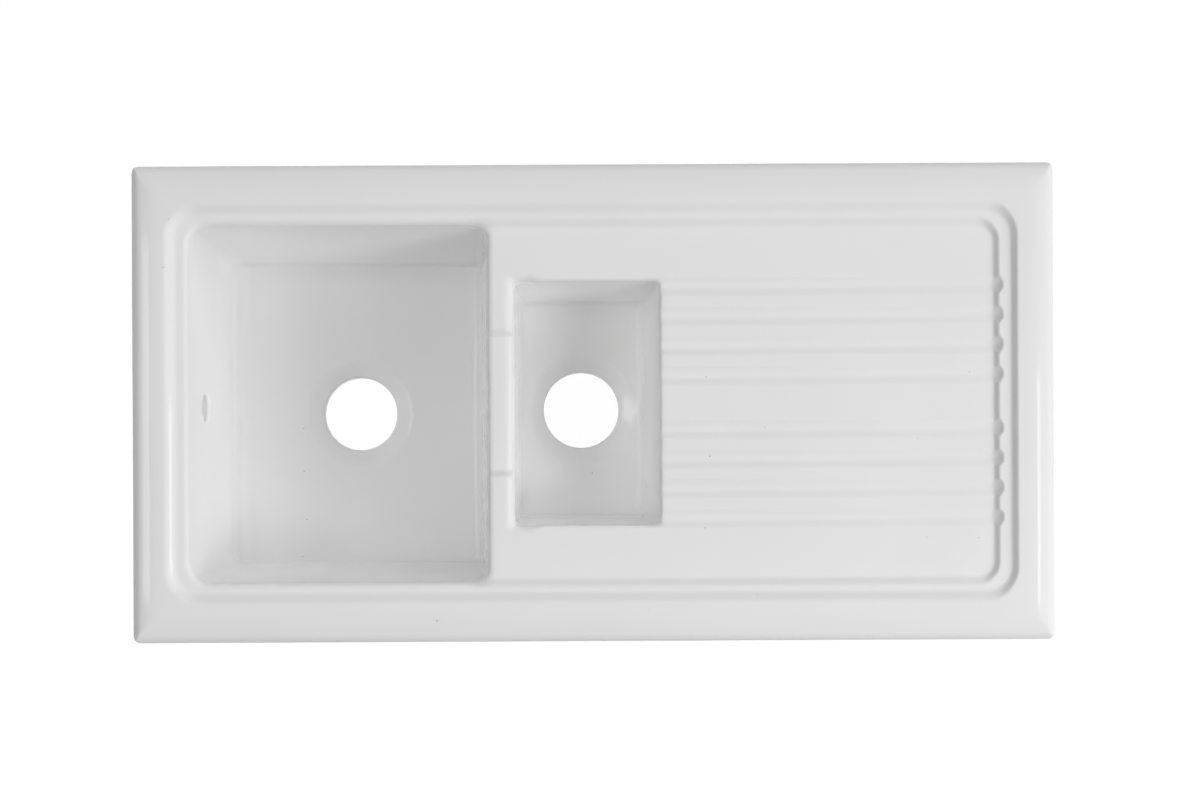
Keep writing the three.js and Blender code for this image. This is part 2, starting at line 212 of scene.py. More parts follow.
def softMin(a, b, k):
    near = np.maximum(k - np.abs(a - b), 0)
    return np.minimum(a, b) - near * near / (4 * k)


def smooth(t):
    t = np.clip(t, 0, 1)
    return t * t * (3 - 2 * t)


def roundedRect(x, y, halfX, halfY, radius):
    qx, qy = np.abs(x) - halfX + radius, np.abs(y) - halfY + radius
    return np.hypot(np.maximum(qx, 0), np.maximum(qy, 0)) + np.minimum(np.maximum(qx, qy), 0) - radius


def stepFall(step, x, y):
    # 0 outside a step, 1 inside it, along a soft S
    line = roundedRect(x, y, halfLong - step["inset"][0], halfDeep - step["inset"][1], step["radius"])
    # the steps are steeper at the drainer's end
    turned = (x - halfLong + step["inset"][0]) / step["radius"] + 1
    end = smooth((turned - cornerTurn["from"]) / cornerTurn["over"])
    half = step["half"] + (step["drainerHalf"] - step["half"]) * end
    along = np.clip(0.5 - (line + step["drainerShift"] * end) / (2 * half), 0, 1)
    return along - np.sin(2 * math.pi * along) / (2 * math.pi)


def rimFall(x, y):
    # how far the rim lies under its crown: bevelled at the ends, rounder along the long sides
    endIn, sideIn = halfLong - np.abs(x), halfDeep - np.abs(y)
    ends = rim["dome"][0] * np.clip(1 - endIn / rim["crownAt"][0], 0, rim["most"]) ** 2
    ends = ends + rim["bevelSlope"] * softMax(rim["bevelWidth"] - endIn, 0, rim["bevelFoot"])
    sides = rim["dome"][1] * np.clip(1 - sideIn / rim["crownAt"][1], 0, rim["most"]) ** 2
    sides = sides + rim["shoulderFall"] * np.clip(1 - sideIn / rim["shoulder"], 0, rim["most"]) ** 2
    return softMax(ends, sides, rim["mitre"])


def topHeight(x, y):
    top = rim["crown"] - rimFall(x, y)
    top = top - (rim["crown"] - rim["ledge"]) * stepFall(outerStep, x, y)
    top = top - (rim["ledge"] - rim["deck"]) * stepFall(innerStep, x, y)
    onDivider = (x > weir["between"][0]) & (x < weir["between"][1])
    top = top - weir["depth"] * onDivider * smooth((weir["half"] - np.abs(y)) / weir["run"])
    run = groove["to"] - groove["from"]
    along = np.clip(x, groove["from"], groove["to"])
    floorAt = rim["deck"] - groove["depth"] - groove["fall"] * (groove["to"] - along) / run
    for side in (-1, 1):
        for offset in groove["offsets"]:
            away = np.hypot(x - along, y - side * offset)
            ball = np.sqrt(np.maximum(groove["radius"] ** 2 - away ** 2, 0))
            cut = np.where(ball > 0, floorAt + groove["radius"] - ball, 1.0)
            top = softMin(top, cut, groove["soft"])
    return top


def firingWaver(x, y, z):
    # the slight unevenness that drying and firing leave, always inwards
    waves = firing["waves"]
    total = sum(np.sin(a * x + b * y + c * z + start) for a, b, c, start in waves)
    return firing["amount"] * (total + len(waves)) / 2


def bowlSides(bowl, x, y, z, grow=0.0):
    # distance past the end walls and past the long walls, each drawn in with depth
    left, right = bowl["left"] - grow * bowl["thick"][0], bowl["right"] + grow * bowl["thick"][1]
    half = bowl["half"] + grow * under["wall"]
    drawn = math.tan(math.radians(bowl["draft"])) * (rim["deck"] - z)
    return np.abs(x - (left + right) / 2) - (right - left) / 2 + drawn, np.abs(y) - half + drawn


def bowlPlan(bowl, x, y, z, grow=0.0):
    # the corners between the walls tighten towards the floor
    ends, sides = bowlSides(bowl, x, y, z, grow)
    corner = np.where(x < outletX(bowl), *bowl["corners"])
    deep = np.clip((rim["deck"] - z) / (rim["deck"] - bowl["floor"]), 0, 1)
    return softMax(ends, sides, corner * (1 - bowl["tighten"] * deep) + grow * under["wall"]), ends - sides


def outletX(bowl):
    return (bowl["left"] + bowl["right"]) / 2


def bowlHollow(bowl, x, y, z):
    away = np.hypot(x - outletX(bowl), y)
    out = np.clip((away - outlet["dish"]) / outlet["floorRun"], 0, 1)
    floor = bowl["dish"] + (bowl["floor"] - bowl["dish"]) * out
    into = np.clip((outlet["dish"] - away) / (outlet["dish"] - outlet["radius"] - outlet["land"]), 0, 1)
    straight, soft = outlet["fallShares"]
    floor = floor - outlet["fall"] * (straight * into + soft * smooth(into))
    plan, lean = bowlPlan(bowl, x, y, z)
    left, right, side = bowl["fillets"]
    nearEnd = smooth(0.5 + lean / bowl["foot"])
    fillet = side + (np.where(x < outletX(bowl), left, right) - side) * nearEnd
    return softMax(plan, floor - z, fillet)


def bowlShell(bowl, x, y, z):
    bottom = bowl["dish"] - under["wall"]
    sides = softMax(bowlPlan(bowl, x, y, z, 1.0)[0], bottom - z, bowl["fillets"][0] + under["wall"])
    shell = softMax(sides, z - under["slabBottom"] - bowlOut["into"], bowlOut["top"])
    away = np.hypot(x - outletX(bowl), y)
    ring = softMax(away - under["collar"], bowl["collarBottom"] - z, bowlOut["collarFoot"])
    return softMin(shell, np.maximum(ring, z - bowl["dish"]), bowlOut["collarJoin"])


def overflowAway(y, z):
    wide, high = overflow["half"]
    return (np.hypot(y / wide, (z - overflow["z"]) / high) - 1) * high


def sinkField(x, y, z):
    edge = roundedRect(x, y, halfLong, halfDeep, rim["corner"])
    body = softMax(z - topHeight(x, y), edge, rim["edgeRound"])

    # skirt, slab and the pocket under it
    inset = under["skirtInset"]
    skirt = roundedRect(x, y, halfLong - inset, halfDeep - inset, under["skirtCorner"])
    skirt = skirt - under["skirtLean"] * (z - rim["underside"])
    skirt = softMax(skirt, under["skirtBottom"] - z, under["skirtFoot"])
    inset = under["pocketInset"]
    pocket = roundedRect(x, y, halfLong - inset, halfDeep - inset, under["pocketCorner"])
    pocket = pocket + under["pocketLean"] * (rim["underside"] - z)
    hollow = softMax(pocket, z - under["slabBottom"], under["pocketRound"])
    lower = softMax(skirt, -hollow, under["skirtRound"])

    # lugs and ribs hang from the slab
    lugs, holes = 1.0, 1.0
    for place, at in fixings.items():
        wide, deep = lug["along"], lug["across"]
        if place.startswith("end"):
            wide, deep = deep, wide
        block = softMax(np.abs(x - at.x) - wide, np.abs(y - at.y) - deep, lug["corner"])
        lugs = np.minimum(lugs, block)
        holes = np.minimum(holes, np.hypot(x - at.x, y - at.y) - lug["hole"])
    lugs = np.maximum(softMax(lugs, under["skirtBottom"] - z, lug["foot"]), z)
    lower = softMin(lower, lugs, lug["join"])
    ribs = np.abs(np.abs(y) - under["ribAt"]) - under["ribHalf"]
    ribs = softMax(ribs, halfBowl["right"] - x, under["ribEnd"])
    ribs = softMin(ribs, np.abs(x - under["ribCross"]) - under["ribHalf"], under["ribMeet"])
    ribs = np.maximum(softMax(ribs, under["ribBottom"] - z, under["ribFoot"]), z)
    lower = softMin(lower, np.maximum(ribs, skirt), under["ribJoin"])

    for bowl in (mainBowl, halfBowl):
        lower = softMin(lower, bowlShell(bowl, x, y, z), under["bowlJoin"])
    half = overflow["padHalf"]
    pad = softMax(np.abs(y) - half, np.abs(z - overflow["z"]) - half, overflow["padCorner"])
    pad = softMax(pad, overflow["pad"] - x, overflow["padFace"])
    lower = softMin(lower, np.maximum(pad, x - mainBowl["left"]), overflow["padJoin"])
    body = softMax(body, softMin(rim["underside"] - z, lower, under["slabJoin"]), under["rimJoin"])

    # bowls, outlets and the small holes
    for bowl in (mainBowl, halfBowl):
        turn = smooth((x - bowl["lipTurn"][0]) / (bowl["lipTurn"][1] - bowl["lipTurn"][0]))
        lip = bowl["lips"][0] + (bowl["lips"][1] - bowl["lips"][0]) * turn
        body = softMax(body, -bowlHollow(bowl, x, y, z), lip)
        neck = np.maximum(np.hypot(x - outletX(bowl), y) - outlet["radius"], z - bowl["dish"])
        body = softMax(body, -neck, outlet["edge"])
    hole = np.maximum(overflowAway(y, z), x - mainBowl["left"] - overflow["reach"])
    body = softMax(body, -hole, overflow["edge"])
    taps = np.hypot(x - tapHole["x"], np.abs(y) - tapHole["y"]) - tapHole["radius"]
    body = softMax(body, -np.maximum(taps, z - tapHole["top"]), tapHole["edge"])
    body = softMax(body, -np.maximum(holes, z - lug["holeTop"]), lug["holeEdge"])
    return body + firingWaver(x, y, z)


def gridLines(low, high, fine, coarse, spans):
    # lines that lie close together in the spans and spread out gently between them
    lines, at = [], low - fine
    while at < high + 2 * fine:
        lines.append(at)
        gap = min(max(start - at, at - end, 0) for start, end in spans)
        at += min(fine + mesh["spread"] * gap, coarse)
    return np.array(lines)


# spacing of the net, its bands of close lines, and how its corners are drawn on to the surface
mesh = {"fine": 0.0022, "coarse": 0.009, "fineZ": 0.0016, "coarseZ": 0.007, "spread": 0.22, "slab": 24,
        "bowlEnd": 0.094, "drainerEnd": 0.075, "sides": 0.092, "grooves": (0.02, 0.1425), "neck": 0.038,
        "nudge": 1e-5, "leastSlope": 0.05, "longestMove": 0.002, "most": 190000}


def netLines():
    long, deep = halfLong, halfDeep
    spansX = [(-long, -long + mesh["bowlEnd"]), (long - mesh["drainerEnd"], long)]
    spansX += [(mainBowl["right"] - 0.03, halfBowl["left"] + 0.02)]
    spansX += [(halfBowl["right"] - 0.012, halfBowl["right"] + 0.008)]
    for bowl in (mainBowl, halfBowl):
        x = outletX(bowl)
        spansX += [(x - outlet["dish"], x - mesh["neck"]), (x + mesh["neck"], x + outlet["dish"])]
    spansX += [(under["ribCross"] - 0.007, under["ribCross"] + 0.007)]
    spansX += [(at.x - 0.02, at.x + 0.02) for at in fixings.values()]
    spansX += [(tapHole["x"] - tapHole["radius"] - 0.003, tapHole["x"] + tapHole["radius"] + 0.003)]
    near, far = mesh["grooves"]
    spansY = [(-deep, -deep + mesh["sides"]), (deep - mesh["sides"], deep), (-far, -near), (near, far)]
    spansZ = [(-0.008, bodyHigh.z), (under["skirtBottom"] - 0.001, under["skirtBottom"] + 0.003)]
    for bowl in (mainBowl, halfBowl):
        spansZ += [(bowl["collarBottom"] - 0.001, bowl["dish"] + 0.012)]
    return (gridLines(-long, long, mesh["fine"], mesh["coarse"], spansX),
            gridLines(-deep, deep, mesh["fine"], mesh["coarse"], spansY),
            gridLines(bodyLow.z, bodyHigh.z, mesh["fineZ"], mesh["coarseZ"], spansZ))


def slopeOf(field, points):
    # the field's gradient at each point
    step = mesh["nudge"]
    parts = []
    for axis in range(3):
        ahead, behind = points.copy(), points.copy()
        ahead[:, axis] += step
        behind[:, axis] -= step
        parts.append((field(*ahead.T) - field(*behind.T)) / (2 * step))
    return np.stack(parts, 1)


def netSurface(field, xs, ys, zs):
    # one corner in each grid cell that the surface passes through, joined across each crossed grid edge
    value = np.empty((len(xs), len(ys), len(zs)), np.float32)
    slab = mesh["slab"]
    for start in range(0, len(xs), slab):
        part = xs[start:start + slab]
        value[start:start + slab] = field(part[:, None, None], ys[None, :, None], zs[None, None, :])
    inside = value < 0
    count = sum(inside[i:i - 1 or None, j:j - 1 or None, k:k - 1 or None].astype(np.int8)
                for i in (0, 1) for j in (0, 1) for k in (0, 1))
    ci, cj, ck = np.nonzero((count > 0) & (count < 8))
    number = np.full(count.shape, -1, np.int32)
    number[ci, cj, ck] = np.arange(len(ci))
    total, crossings = np.zeros((len(ci), 3)), np.zeros(len(ci))
    lines = (xs, ys, zs)
    for axis in range(3):
        for a in (0, 1):
            for b in (0, 1):
                first = [ci, cj, ck]
                others = [n for n in range(3) if n != axis]
                first[others[0]] = first[others[0]] + a
                first[others[1]] = first[others[1]] + b
                second = list(first)
                second[axis] = first[axis] + 1
                v0, v1 = value[tuple(first)], value[tuple(second)]
                crossed = (v0 < 0) != (v1 < 0)
                share = np.where(crossed, v0 / np.where(crossed, v0 - v1, 1), 0)
                for n in range(3):
                    p0, p1 = lines[n][first[n]], lines[n][second[n]]
                    total[:, n] += crossed * (p0 + (p1 - p0) * share)
                crossings += crossed
    points = total / crossings[:, None]
    quads = []
    for axis in range(3):
        u, v = (axis + 1) % 3, (axis + 2) % 3
        lead = [slice(1, -1)] * 3
        lead[axis] = slice(None, -1)
        ahead = list(lead)
        ahead[axis] = slice(1, None)
        here, there = inside[tuple(lead)], inside[tuple(ahead)]
        spots = np.stack(np.nonzero(here != there))
        out = here[tuple(spots)]
        spots[u] += 1
        spots[v] += 1
        ring = []
        for du, dv in ((0, 0), (-1, 0), (-1, -1), (0, -1)):
            cell = spots.copy()
            cell[u] += du
            cell[v] += dv
            ring.append(number[tuple(cell)])
        ring = np.stack(ring, 1)
        quads.append(np.where(out[:, None], ring, ring[:, ::-1]))
    return points, np.concatenate(quads)


def onToSurface(field, points, rounds):
    for _ in range(rounds):
        slope = slopeOf(field, points)
        size = np.maximum((slope ** 2).sum(1), mesh["leastSlope"])
        shift = np.clip(field(*points.T) / size, -mesh["longestMove"], mesh["longestMove"])
        points = points - shift[:, None] * slope
    return points


def addMesh(name, points, faces, smoothed=True):
    data = bpy.data.meshes.new(name)
    data.from_pydata([], [], [])
    data.vertices.add(len(points))
    data.vertices.foreach_set("co", np.asarray(points, np.float32).ravel())
    sides = faces.shape[1]
    data.loops.add(faces.size)
    data.loops.foreach_set("vertex_index", faces.ravel().astype(np.int32))
    data.polygons.add(len(faces))
    data.polygons.foreach_set("loop_start", np.arange(0, faces.size, sides, dtype=np.int32))
    data.update(calc_edges=True)
    data.validate()
    data.polygons.foreach_set("use_smooth", [smoothed] * len(data.polygons))
    made = bpy.data.objects.new(name, data)
    bpy.context.scene.collection.objects.link(made)
    return made


def fewerFaces(skin, most):
    # flat stretches keep few triangles, so that the curved ones can have many
    thin = skin.modifiers.new("thin", "DECIMATE")
    thin.ratio = most / (2 * len(skin.data.polygons))
    ready = skin.evaluated_get(bpy.context.evaluated_depsgraph_get())
    lighter = bpy.data.meshes.new_from_object(ready)
    skin.modifiers.clear()
    skin.data = lighter
    points = np.empty(len(lighter.vertices) * 3, np.float32)
    lighter.vertices.foreach_get("co", points)
    return points.reshape(-1, 3).astype(float)


def fieldSkin(name, field, lines, most):
    # a mesh on the surface where the field is zero, shaded by the field's own slope
    points, quads = netSurface(field, *lines)
    points = onToSurface(field, points, 3)
    skin = addMesh(name, points, quads)
    points = onToSurface(field, fewerFaces(skin, most), 2)
    skin.data.vertices.foreach_set("co", points.astype(np.float32).ravel())
    skin.data.polygons.foreach_set("use_smooth", [True] * len(skin.data.polygons))
    print(name, "netted with", len(quads), "squares, kept", len(skin.data.polygons), "faces")
    slope = slopeOf(field, points)
    normals = slope / np.maximum(np.linalg.norm(slope, axis=1), 1e-9)[:, None]
    skin.data.normals_split_custom_set_from_vertices(normals.astype(np.float32))
    return skin, points


def handOver(piece, body, node, slot):
    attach(piece, body)
    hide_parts(node)


# how far from the bowls' glazed faces, and under the top, the clay starts to be bare
glazeEdge = {"lipFoot": -0.008, "clear": (0.006, 0.001), "fade": 0.003, "topSkin": 0.0015, "topFade": 0.001}


def makeSink(finish):
    sink, points = fieldSkin("fireclay_sink", sinkField, netLines(), mesh["most"])
    x, y, z = points.T
    away = np.minimum(bowlHollow(mainBowl, x, y, z), bowlHollow(halfBowl, x, y, z))
    for bowl in (mainBowl, halfBowl):
        neck = np.hypot(x - outletX(bowl), y) - outlet["radius"]
        away = np.where(z < bowl["dish"], np.minimum(away, neck), away)
    away = np.where(x < mainBowl["left"] + overflow["reach"], np.minimum(away, overflowAway(y, z)), away)
    clear = np.where(z > glazeEdge["lipFoot"], *glazeEdge["clear"])
    below = topHeight(x, y) - z - glazeEdge["topSkin"]
    outside = smooth((away - clear) / glazeEdge["fade"]) * smooth(below / glazeEdge["topFade"])
    mark = sink.data.attributes.new("outside", "FLOAT", "POINT")
    mark.data.foreach_set("value", outside.astype(np.float32))
    sink.data.materials.append(finish)
    handOver(sink, "sink", "sink_body", "glaze")


# finishes

glazeLook = {"colour": (0.97, 0.97, 0.97, 1), "thin": (0.96, 0.959, 0.957, 1),
             # painted shade: the greyer white is for the large bowl's depths
             "worn": (0.94, 0.94, 0.94, 1), "roughness": 0.07,
             "line": (0.0033, 0.0037), "lineWaver": 0.003, "raggedScale": 90.0, "cloudScale": 7.0,
             "ripple": 0.00003, "rippleScale": 26, "pinCell": 17, "pinChance": 0.2, "pinDeep": 0.0003,
             "pinRadius": (0.006, 0.015), "pinColour": (0.42, 0.40, 0.36, 1)}
clayLook = {"colour": (0.70, 0.63, 0.53, 1), "warm": (0.63, 0.545, 0.44, 1), "speck": (0.27, 0.19, 0.13, 1),
            "speckScale": 420, "blotchScale": 14.0, "grainScale": 700.0, "roughness": 0.82, "grain": 0.00012}


def glazeFinish():
    made, wire, shader = material("white_glaze", glazeLook["roughness"])
    here = wire.node("TexCoord", out="Object")
    outside = wire.node("Attribute", {"attribute_name": "outside"}, out="Fac")
    ragged = wire.node("TexNoise", {}, {"Vector": here, "Scale": glazeLook["raggedScale"], "Detail": 3.0})
    across, level = (wire.node("SeparateXYZ", {}, {0: here}, out=n) for n in (0, 2))
    glazeLine = (level + (ragged - 0.5) * glazeLook["lineWaver"]).between(*glazeLook["line"], 1.0, 0.0)
    clay = (outside + (ragged - 0.5) * 0.5).between(0.42, 0.58) * glazeLine

    # white glaze, a touch thinner in patches, with a few open pinholes on what faces up
    cloud = wire.node("TexNoise", {}, {"Vector": here, "Scale": glazeLook["cloudScale"], "Detail": 3.0})
    white = cloud.between(0.42, 0.66).mixed(glazeLook["colour"], glazeLook["thin"])
    # painted shade: the glaze is painted a little darker deeper in the large bowl
    worn = across.between(mainBowl["right"], mainBowl["right"] + 0.01, 1.0, 0.0)
    white = (worn * level.between(-0.01, -0.09, 0.0, 1.0)).mixed(white, glazeLook["worn"])
    cells = {"Vector": here, "Scale": glazeLook["pinCell"], "Randomness": 1.0}
    flat = {"voronoi_dimensions": "2D"}
    reach = wire.node("TexVoronoi", flat, cells, out="Distance")
    lot = wire.node("SeparateColor", {}, {0: wire.node("TexVoronoi", flat, cells, out="Color")})
    size = wire.node("SeparateColor", {}, {0: wire.node("TexVoronoi", flat, cells, out="Color")}, out=1)
    normal = wire.node("NewGeometry", out="Normal")
    upward = wire.node("SeparateXYZ", {}, {0: normal}, out=2).between(0.7, 0.9)
    low, high = glazeLook["pinRadius"]
    edge = size.between(0.0, 1.0, low, high)
    pit = (reach - edge).between(-0.004, 0.003, 1.0, 0.0)
    pit = pit * lot.between(glazeLook["pinChance"], glazeLook["pinChance"] + 0.01, 1.0, 0.0) * upward
    # the pinholes' dark grey is partly bare clay and partly painted shade inside each pit
    white = (pit * 0.75).mixed(white, glazeLook["pinColour"])

    # bare fireclay: warm blotches and iron specks
    blotch = wire.node("TexNoise", {}, {"Vector": here, "Scale": clayLook["blotchScale"], "Detail": 5.0})
    grain = wire.node("TexNoise", {}, {"Vector": here, "Scale": clayLook["grainScale"], "Detail": 2.0})
    body = blotch.between(0.35, 0.7).mixed(clayLook["colour"], clayLook["warm"])
    speck = wire.node("TexVoronoi", {}, {"Vector": here, "Scale": clayLook["speckScale"]}, out="Distance")
    body = speck.between(0.10, 0.17, 0.6, 0.0).mixed(body, clayLook["speck"])

    feed(shader, "Base Color", clay.mixed(white, body))
    rough = glazeLook["roughness"] + cloud.between(0.35, 0.7, 0.0, 0.03) + pit * 0.4
    feed(shader, "Roughness", clay * (clayLook["roughness"] - rough) + rough)
    ripple = wire.node("TexNoise", {}, {"Vector": here, "Scale": glazeLook["rippleScale"], "Detail": 1.0})
    height = ripple * glazeLook["ripple"] * (1 - clay) + clay * grain * clayLook["grain"]
    height = height - pit * glazeLook["pinDeep"]
    feed(shader, "Normal", bumped(wire, height))
    return made


def zincFinish():
    # bright zinc plate with a faint yellow passivation and the spangle of rolled strip
    look = {"bright": (0.66, 0.67, 0.69, 1), "yellow": (0.62, 0.60, 0.50, 1), "dull": (0.47, 0.48, 0.50, 1)}
    made, wire, shader = material("zinc_plate", 0.3, 1.0)
    here = wire.node("TexCoord", out="Object")
    cloud = wire.node("TexNoise", {}, {"Vector": here, "Scale": 60.0, "Detail": 4.0})
    spangle = wire.node("TexVoronoi", {}, {"Vector": here, "Scale": 330.0}, out="Distance")
    tone = cloud.between(0.35, 0.7).mixed(look["bright"], look["yellow"])
    feed(shader, "Base Color", spangle.between(0.2, 0.75, 0.0, 0.55).mixed(tone, look["dull"]))
    feed(shader, "Roughness", cloud * 0.22 + spangle * 0.1 + 0.14)
    fine = wire.node("TexNoise", {}, {"Vector": here, "Scale": 900.0, "Detail": 2.0})
    feed(shader, "Normal", bumped(wire, fine * 0.00002))
    return made


def nylonFinish():
    # natural nylon: milky, a little uneven, with a fine moulded grain
    look = {"milk": (0.72, 0.68, 0.57, 1), "honey": (0.63, 0.57, 0.43, 1)}
    made, wire, shader = material("natural_nylon", 0.42)
    here = wire.node("TexCoord", out="Object")
    cloud = wire.node("TexNoise", {}, {"Vector": here, "Scale": 130.0, "Detail": 3.0})
    grain = wire.node("TexNoise", {}, {"Vector": here, "Scale": 1600.0, "Detail": 1.0})
    feed(shader, "Base Color", cloud.between(0.3, 0.75).mixed(look["milk"], look["honey"]))
    feed(shader, "Roughness", cloud * 0.2 + 0.33)
    feed(shader, "Normal", bumped(wire, grain * 0.00003))
    return made


def foamFinish():
    # dark closed-cell foam, open where the strip was cut
    look = {"dark": (0.035, 0.037, 0.04, 1), "pale": (0.085, 0.088, 0.092, 1)}
    made, wire, shader = material("seal_foam", 0.9)
    here = wire.node("TexCoord", out="Object")
    cell = wire.node("TexVoronoi", {}, {"Vector": here, "Scale": 1500.0}, out="Distance")
    cloud = wire.node("TexNoise", {}, {"Vector": here, "Scale": 45.0, "Detail": 4.0})
    feed(shader, "Base Color", (cell.between(0.1, 0.7) * cloud).mixed(look["dark"], look["pale"]))
    feed(shader, "Roughness", cloud * 0.25 + 0.72)
    feed(shader, "Normal", bumped(wire, cell * 0.00015))
    return made


makeSink(glazeFinish())
print("ceramic made")

# small parts, each made once about its own screw axis and set down at every fixing

def tidyFaces(piece, sharp=None):
    # joined corners, closed ends, faces turned outwards, and creases along the sharp edges
    work = bmesh.new()
    work.from_mesh(piece.data)
    bmesh.ops.remove_doubles(work, verts=work.verts, dist=2e-6)
    bmesh.ops.holes_fill(work, edges=work.edges)
    bmesh.ops.recalc_face_normals(work, faces=work.faces)
    for edge in work.edges:
        edge.smooth = sharp is None or edge.calc_face_angle(0.0) < math.radians(sharp)
    work.to_mesh(piece.data)
    work.free()


def ringFaces(rows, around):
    # quads between closed rings of corners
    start = np.arange(rows - 1)[:, None] * around
    here, there = np.arange(around)[None, :], (np.arange(around)[None, :] + 1) % around
    faces = np.stack([start + here, start + there, start + around + there, start + around + here], -1)
    return faces.reshape(-1, 4)


def lathe(name, outline, sides, warp=None, sharp=35):
    # a (radius, z) outline turned about z, with an optional shift of each point
    angle = np.arange(sides) * 2 * math.pi / sides
    radius, height = (np.repeat(row[:, None], sides, 1) for row in np.array(outline, float).T)
    angle = np.repeat(angle[None, :], len(outline), 0)
    if warp:
        radius, height = warp(radius, height, angle)
    points = np.stack([radius * np.cos(angle), radius * np.sin(angle), height], -1).reshape(-1, 3)
    made = addMesh(name, points, ringFaces(len(outline), sides))
    tidyFaces(made, sharp)
    return made


def rounded(corners, radius, steps=4):
    # a closed (radius, z) outline with each corner turned through a small arc
    outline = []
    for i, corner in enumerate(corners):
        here = Vector(corner)
        before, after = Vector(corners[i - 1]) - here, Vector(corners[(i + 1) % len(corners)]) - here
        reach = min(radius, before.length / 2.2, after.length / 2.2)
        start, end = here + before.normalized() * reach, here + after.normalized() * reach
        for step in range(steps + 1):
            t = step / steps
            outline.append(tuple(start * (1 - t) ** 2 + here * (2 * t * (1 - t)) + end * t ** 2))
    return outline + outline[:1]


def heights(kind):
    low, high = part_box(kind + "_" + firstPlace)
    return low.z, high.z


plug = {"flange": 0.007, "flangeThick": 0.0015, "flangeEdge": 0.0004, "body": 0.0048, "root": 0.0041,
        "bore": 0.0026, "barbs": 6, "barbFrom": 0.0006, "barbRoom": 0.0016, "barbFlat": (0.72, 0.84),
        "notch": 0.0006, "notchFrom": 0.0066, "sides": 64}


def plugPattern():
    low, high = heights("anchor_plug")
    face = low + plug["flangeThick"]
    outer = [(plug["bore"], low), (plug["flange"], low), (plug["flange"], face)]
    outline = rounded(outer + [(plug["body"], face)], plug["flangeEdge"])[:-1]
    outline = [p for p in outline if p[0] > plug["body"] - 1e-4 or p[1] < low + 0.0005]
    rise = (high - face - plug["barbRoom"]) / plug["barbs"]
    for i in range(plug["barbs"]):
        foot = face + plug["barbFrom"] + i * rise
        outline += [(plug["root"], foot)]
        outline += [(plug["body"], foot + rise * share) for share in plug["barbFlat"]]
    outline += [(plug["root"], high - 0.0006), (plug["root"] - 0.0005, high), (plug["bore"], high)]

    def notched(radius, height, angle):
        # four shallow grip notches in the flange
        grip = (np.cos(4 * angle) > 0.86) & (radius > plug["notchFrom"])
        return radius - grip * plug["notch"], height
    return lathe("plug_pattern", outline + outline[:1], plug["sides"], notched)


screw = {"major": 0.0023, "minor": 0.0017, "pitch": 0.0018, "head": 0.0048, "headHigh": 0.003,
         "headFlat": 0.0028, "point": 0.005, "recess": 0.0019, "crossLong": 0.0026, "crossHalf": 0.00055}


def screwPattern():
    # a pan head with a cross recess, and a coarse thread down to a blunt point
    low, high = heights("fixing_screw")
    seat = low + screw["headHigh"]
    outline = [(r, low) for r in np.linspace(0, screw["headFlat"], 16)]
    for step in range(1, 9):
        turn = step / 8 * math.pi / 2
        outline.append((screw["headFlat"] + (screw["head"] - screw["headFlat"]) * math.sin(turn),
                        low + 0.8 * screw["headHigh"] * (1 - math.cos(turn))))
    outline += [(screw["head"], seat - 0.0002), (screw["head"] - 0.0003, seat), (screw["major"], seat)]
    shank = np.linspace(seat + 0.0002, high, int((high - seat) / (screw["pitch"] / 9)))
    outline += [(screw["major"] * min(1, (high - z) / screw["point"] + 0.04), z) for z in shank]

    def threaded(radius, height, angle):
        phase = (height / screw["pitch"] - angle / (2 * math.pi)) % 1
        valley = 1 - np.clip(1.25 - np.abs(phase - 0.5) * 4, 0, 1)
        share = np.minimum(radius / screw["major"], 1)
        cut = (screw["major"] - screw["minor"]) * valley * share * (height > seat + 0.0001)
        across, along = np.abs(radius * np.cos(angle)), np.abs(radius * np.sin(angle))
        cross = (np.minimum(across, along) < screw["crossHalf"]) & (radius < screw["crossLong"])
        sunk = cross & (height < low + 0.0001)
        return radius - cut, height + sunk * screw["recess"] * (1 - 0.6 * radius / screw["crossLong"])
    return lathe("screw_pattern", outline, 48, threaded, 50)


washer = {"bore": 0.0028, "outer": 0.007, "edge": 0.0004, "sides": 64}


def washerPattern():
    low, high = heights("clip_washer")
    bore, outer = washer["bore"], washer["outer"]
    corners = [(bore, low), (outer, low), (outer, high), (bore, high)]
    return lathe("washer_pattern", rounded(corners, washer["edge"]), washer["sides"])


arm = {"thick": 0.002, "half": 0.01, "tipHalf": 0.008, "reach": 0.046, "hole": 0.0029, "edge": 0.0006,
       "bend": 0.002, "bead": 0.001, "beadHalf": 0.003, "beadEnds": (0.013, 0.038), "beadRun": 0.005,
       "holeEdge": 0.0004, "bite": 0.0014, "pitch": 0.004, "most": 5000}


